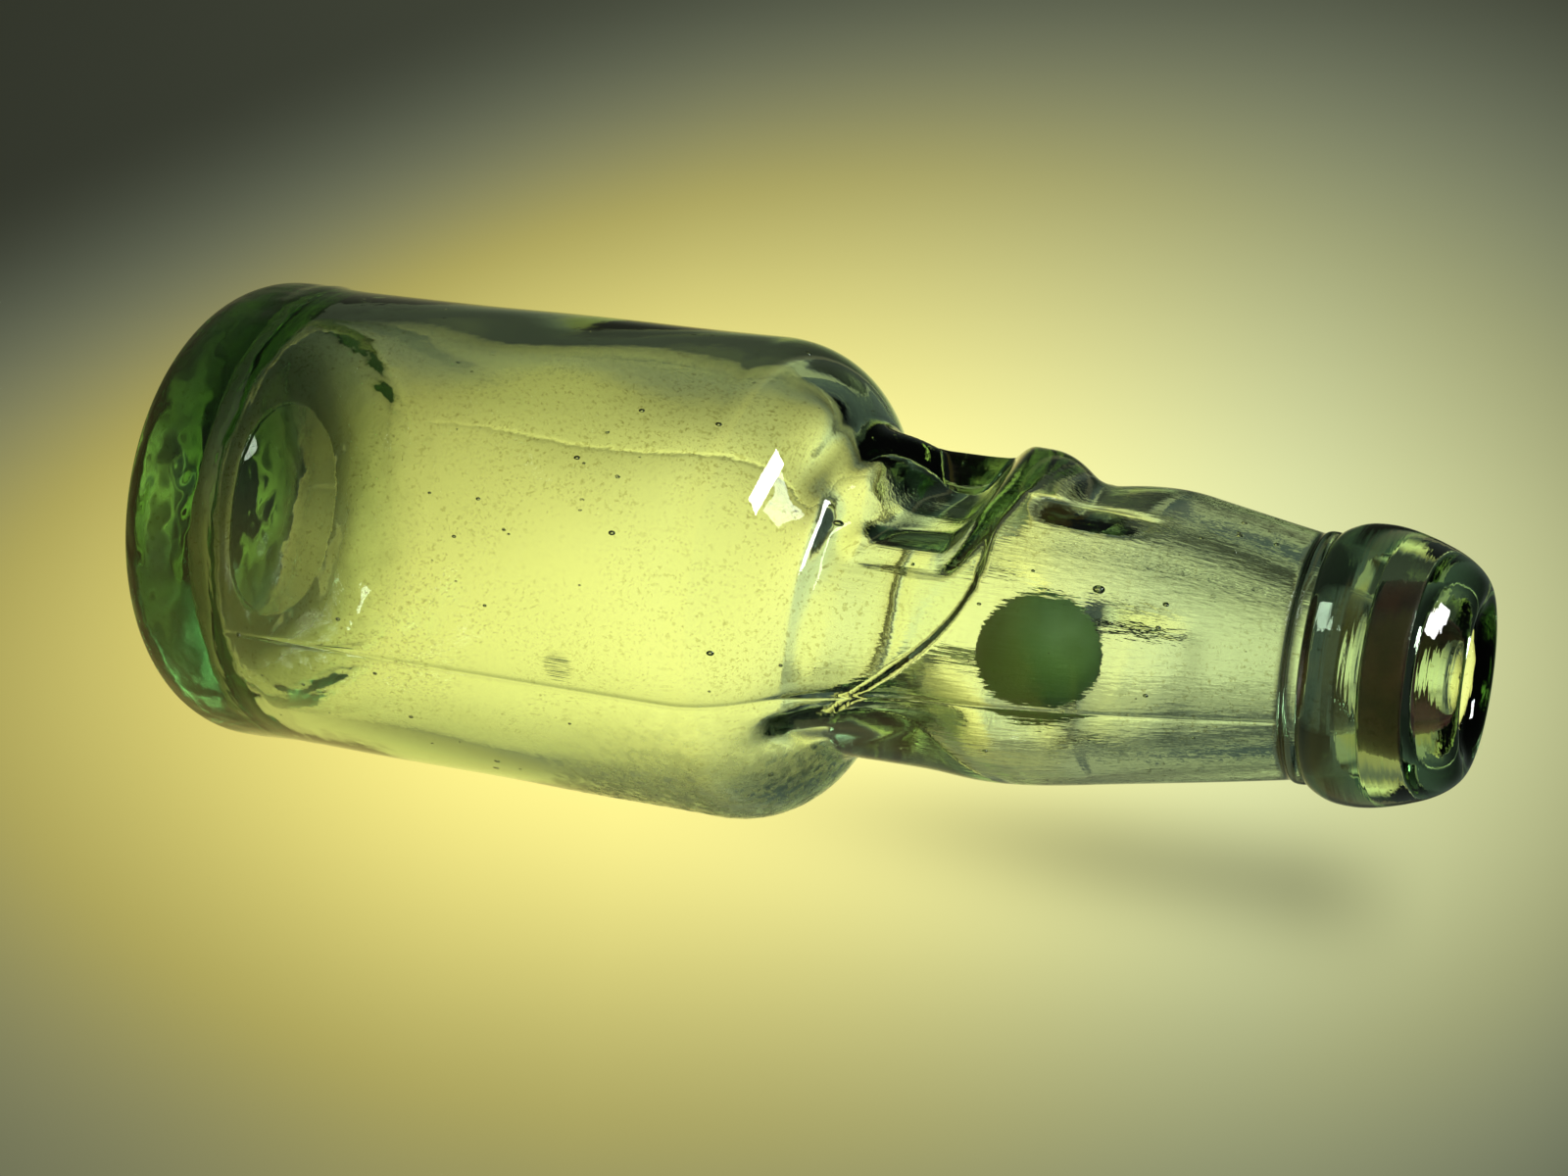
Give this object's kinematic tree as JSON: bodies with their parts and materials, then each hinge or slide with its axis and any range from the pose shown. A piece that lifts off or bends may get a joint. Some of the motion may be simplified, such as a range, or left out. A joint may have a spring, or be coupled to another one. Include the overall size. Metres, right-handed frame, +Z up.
{
  "type": "marble stopper bottle",
  "caption": "Thick-walled green glass bottle with a pinched neck that traps a loose glass marble, which seals upwards against a rubber ring inside the thick applied lip.",
  "frame": {"origin": "centre of the foot, on the plane that the bottle stands on", "axes": "+Z up the bottle's axis to the mouth; the deep front pinch is towards -Y, the shallow back pinch towards +Y, the mould seams at +X and -X, and the two lugs either side of -X"},
  "size_m": [0.0616, 0.0614, 0.1687],
  "materials": {
    "bottle_glass": "clear green soda glass, fire polished, with mould seams, seeds and worn patches",
    "ring_rubber": "aged dark red-brown rubber, dull",
    "marble_glass": "green glass ground to a fine matt surface"
  },
  "bodies": {
    "bottle": {"bottle_glass": "bottle_glass", "applied_lip": "bottle_glass", "sealing_ring": "ring_rubber"},
    "marble": {"marble": "marble_glass"}
  },
  "joints": [
    {"name": "marble_slide", "type": "slide", "parent": "bottle", "child": "marble", "axis": [-0.0316, -0.1236, 0.9918], "range_m": [0, 0.03803]}
  ]
}
